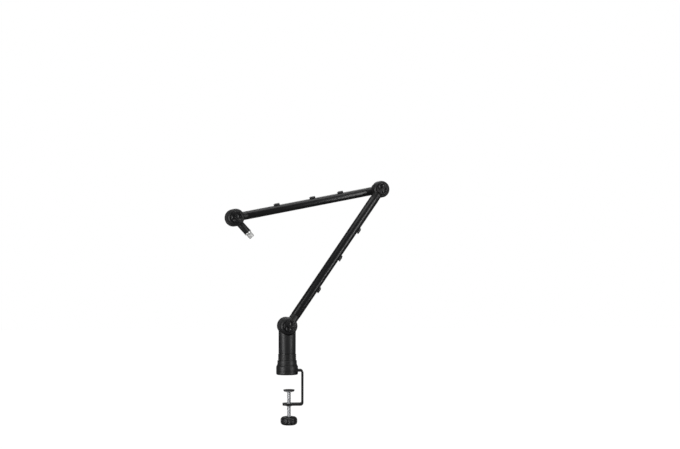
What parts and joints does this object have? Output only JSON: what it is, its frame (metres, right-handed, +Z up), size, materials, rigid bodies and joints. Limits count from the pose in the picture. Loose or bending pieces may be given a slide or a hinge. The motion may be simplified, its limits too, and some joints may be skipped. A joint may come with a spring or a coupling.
{
  "type": "microphone boom arm",
  "caption": "Desk-clamp boom arm: swivelling column, jointed tubes with tension knobs, and a tilting, swivelling holder ending in a 5/8 inch microphone thread.",
  "frame": {"origin": "centre of the foot's underside, where the clamp's base rests on the desk", "axes": "+Z up, along the column; +X from the column towards the clamp bracket's upright leg, off the desk's edge; -Y towards the arm's knobs"},
  "size_m": [0.4461, 0.1351, 0.654],
  "materials": {
    "black_aluminium": "satin black powder coat",
    "black_steel": "satin black powder coat",
    "zinc_steel": "bright zinc plate",
    "bright_nickel": "bright nickel plate",
    "black_plastic": "fine moulded texture",
    "bearing_plastic": "plain nylon",
    "brass": "machined",
    "rubber": "matt"
  },
  "bodies": {
    "clamp": {"clamp_bracket": "black_steel", "bracket_insert": "zinc_steel", "base_foot": "rubber", "base_plate": "black_aluminium", "base_screws": "zinc_steel", "base_housing": "black_aluminium", "swivel_post": "zinc_steel", "post_bolt": "zinc_steel", "thrust_ring": "black_plastic"},
    "pad": {"pressure_pad": "zinc_steel", "pad_rubber": "rubber"},
    "screw": {"clamp_screw": "zinc_steel", "clamp_knob": "black_plastic"},
    "column": {"column": "black_aluminium", "column_retaining_ring": "zinc_steel", "swivel_bush_lower": "bearing_plastic", "swivel_bush_upper": "bearing_plastic", "shoulder_bolt": "zinc_steel", "shoulder_friction_disc": "bearing_plastic", "shoulder_rear_cap": "black_plastic"},
    "shoulder_knob": {"shoulder_knob": "black_plastic", "shoulder_knob_nut": "brass"},
    "lower_arm": {"shoulder_cup": "black_aluminium", "shoulder_washers": "zinc_steel", "lower_tube": "black_aluminium", "elbow_front_cup": "black_aluminium", "elbow_washers": "zinc_steel", "lower_tube_screws": "zinc_steel", "lower_clip_1": "black_plastic", "lower_clip_2": "black_plastic", "lower_clip_3": "black_plastic"},
    "upper_arm": {"elbow_bolt": "zinc_steel", "elbow_friction_disc": "bearing_plastic", "elbow_rear_cap": "black_plastic", "elbow_rear_cup": "black_aluminium", "upper_tube": "black_aluminium", "upper_tube_screws": "zinc_steel", "upper_clip_1": "black_plastic", "upper_clip_2": "black_plastic", "upper_clip_3": "black_plastic", "head_socket": "black_plastic"},
    "elbow_knob": {"elbow_knob": "black_plastic", "elbow_knob_nut": "brass"},
    "head": {"head_front_cup": "black_aluminium", "head_retaining_ring": "zinc_steel", "head_washers": "zinc_steel"},
    "holder": {"head_bolt": "zinc_steel", "head_friction_disc": "bearing_plastic", "head_rear_cap": "black_plastic", "holder_stem": "black_aluminium", "adapter_stud": "bright_nickel", "thread_adapter": "bright_nickel"},
    "head_knob": {"head_knob": "black_plastic", "head_knob_nut": "brass"}
  },
  "joints": [
    {"name": "pad_travel", "type": "slide", "parent": "clamp", "child": "pad", "axis": [0, 0, 1], "range_m": [-0.028, 0.026]},
    {"name": "clamp_screw_turn", "type": "hinge", "parent": "pad", "child": "screw", "pos_m": [0.005, 0, -0.1], "axis": [0, 0, 1], "range_deg": [-6660, 6120]},
    {"name": "base_swivel", "type": "hinge", "parent": "clamp", "child": "column", "pos_m": [0, 0, 0.08], "axis": [0, 0, 1], "continuous": true},
    {"name": "shoulder_tilt", "type": "hinge", "parent": "column", "child": "lower_arm", "pos_m": [0, 0, 0.129], "axis": [0.225, -0.9744, 0], "range_deg": [-55, 125]},
    {"name": "shoulder_knob_turn", "type": "hinge", "parent": "column", "child": "shoulder_knob", "pos_m": [0, 0, 0.129], "axis": [0.225, -0.9744, 0], "range_deg": [-90, 360]},
    {"name": "elbow_bend", "type": "hinge", "parent": "lower_arm", "child": "upper_arm", "pos_m": [0.25299, 0.05841, 0.49776], "axis": [0.225, -0.9744, 0], "range_deg": [-136.5, 3.5]},
    {"name": "elbow_knob_turn", "type": "hinge", "parent": "upper_arm", "child": "elbow_knob", "pos_m": [0.25299, 0.05841, 0.49776], "axis": [0.225, -0.9744, 0], "range_deg": [-90, 360]},
    {"name": "head_swivel", "type": "hinge", "parent": "upper_arm", "child": "head", "pos_m": [-0.1404, -0.01928, 0.41622], "axis": [-0.9548, -0.2204, -0.1994], "continuous": true},
    {"name": "holder_tilt", "type": "hinge", "parent": "head", "child": "holder", "pos_m": [-0.1404, -0.01928, 0.41622], "axis": [0.225, -0.9744, 0], "range_deg": [-247, 4.5]},
    {"name": "head_knob_turn", "type": "hinge", "parent": "holder", "child": "head_knob", "pos_m": [-0.1404, -0.01928, 0.41622], "axis": [0.225, -0.9744, 0], "range_deg": [-90, 360]}
  ],
  "couplings": [
    {"joint": "pad_travel", "follows": "clamp_screw_turn", "m_per_rad": 0.00023873}
  ]
}
